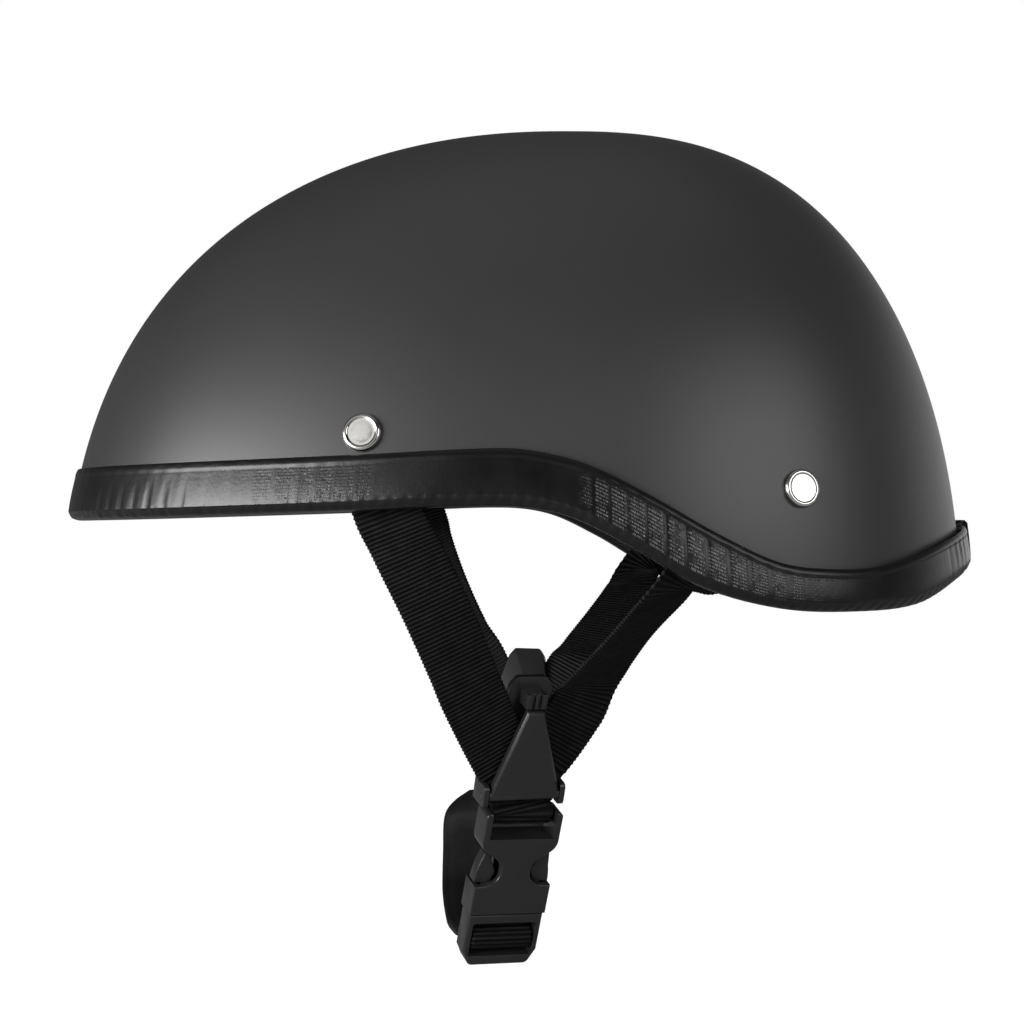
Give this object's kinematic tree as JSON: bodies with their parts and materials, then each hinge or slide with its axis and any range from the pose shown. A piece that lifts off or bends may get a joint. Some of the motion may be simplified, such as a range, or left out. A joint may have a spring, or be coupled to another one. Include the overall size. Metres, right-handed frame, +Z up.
{
  "type": "half shell motorcycle helmet",
  "caption": "Open half helmet shell with foam liner, comfort pads, edge trim and riveted side straps that meet in flip-lever dividers and a side-release buckle over a chin pad.",
  "frame": {"origin": "centre of the head opening, on the mid-plane at the height of the ear rim", "axes": "+Z up, -Y towards the face, +X towards the wearer's left, where the buckle hangs"},
  "size_m": [0.219, 0.2905, 0.261],
  "materials": {
    "shell": "satin black paint over a moulded shell",
    "trim": "black leatherette edge trim, creased",
    "liner": "black expanded foam",
    "pads": "brushed knit over foam",
    "nickel": "nickel plated cap",
    "steel": "zinc plated",
    "webbing": "ribbed nylon webbing",
    "hardware": "fine matte moulded acetal",
    "chin_cover": "smooth leatherette sleeve",
    "keeper": "matte rubber loop"
  },
  "bodies": {
    "helmet": {"outer_shell": "shell", "rim_trim": "trim", "trim_joint_cover": "trim", "impact_liner": "liner", "crown_pad": "pads", "brow_pad": "pads", "nape_pad": "pads", "side_pad_left": "pads", "side_pad_right": "pads", "rivet_caps": "nickel", "rivet_posts": "steel", "rivet_washers": "steel", "side_strap_left": "webbing", "side_strap_right": "webbing", "chin_strap": "webbing", "divider_frame_left": "hardware", "divider_frame_right": "hardware", "buckle_socket": "hardware", "chin_pad": "chin_cover", "strap_keeper": "keeper"},
    "lever_left": {"divider_lever_left": "hardware"},
    "lever_right": {"divider_lever_right": "hardware"},
    "male_half": {"buckle_male": "hardware"},
    "front_prong": {"prong_front": "hardware"},
    "rear_prong": {"prong_rear": "hardware"}
  },
  "joints": [
    {"name": "lever_left_hinge", "type": "hinge", "parent": "helmet", "child": "lever_left", "pos_m": [0.05592, 0.00059, -0.0845], "axis": [-0.3746, 0.9272, -0.005], "range_deg": [0, 100]},
    {"name": "lever_right_hinge", "type": "hinge", "parent": "helmet", "child": "lever_right", "pos_m": [-0.05592, 0.00059, -0.0845], "axis": [-0.3746, -0.9272, 0.005], "range_deg": [0, 100]},
    {"name": "buckle_slide", "type": "slide", "parent": "helmet", "child": "male_half", "axis": [-0.3006, -0.166, -0.9392], "range_m": [0, 0.024], "deforming": ["chin_strap", "prong_front", "prong_rear"]},
    {"name": "front_prong_flex", "type": "hinge", "parent": "male_half", "child": "front_prong", "pos_m": [0.04395, -0.01349, -0.12198], "axis": [-0.8722, -0.3506, 0.3411], "range_deg": [0, 10], "stiffness_Nm_per_rad": 0.5},
    {"name": "rear_prong_flex", "type": "hinge", "parent": "male_half", "child": "rear_prong", "pos_m": [0.03731, 0.00236, -0.12266], "axis": [0.8722, 0.3506, -0.3411], "range_deg": [0, 10], "stiffness_Nm_per_rad": 0.5}
  ]
}
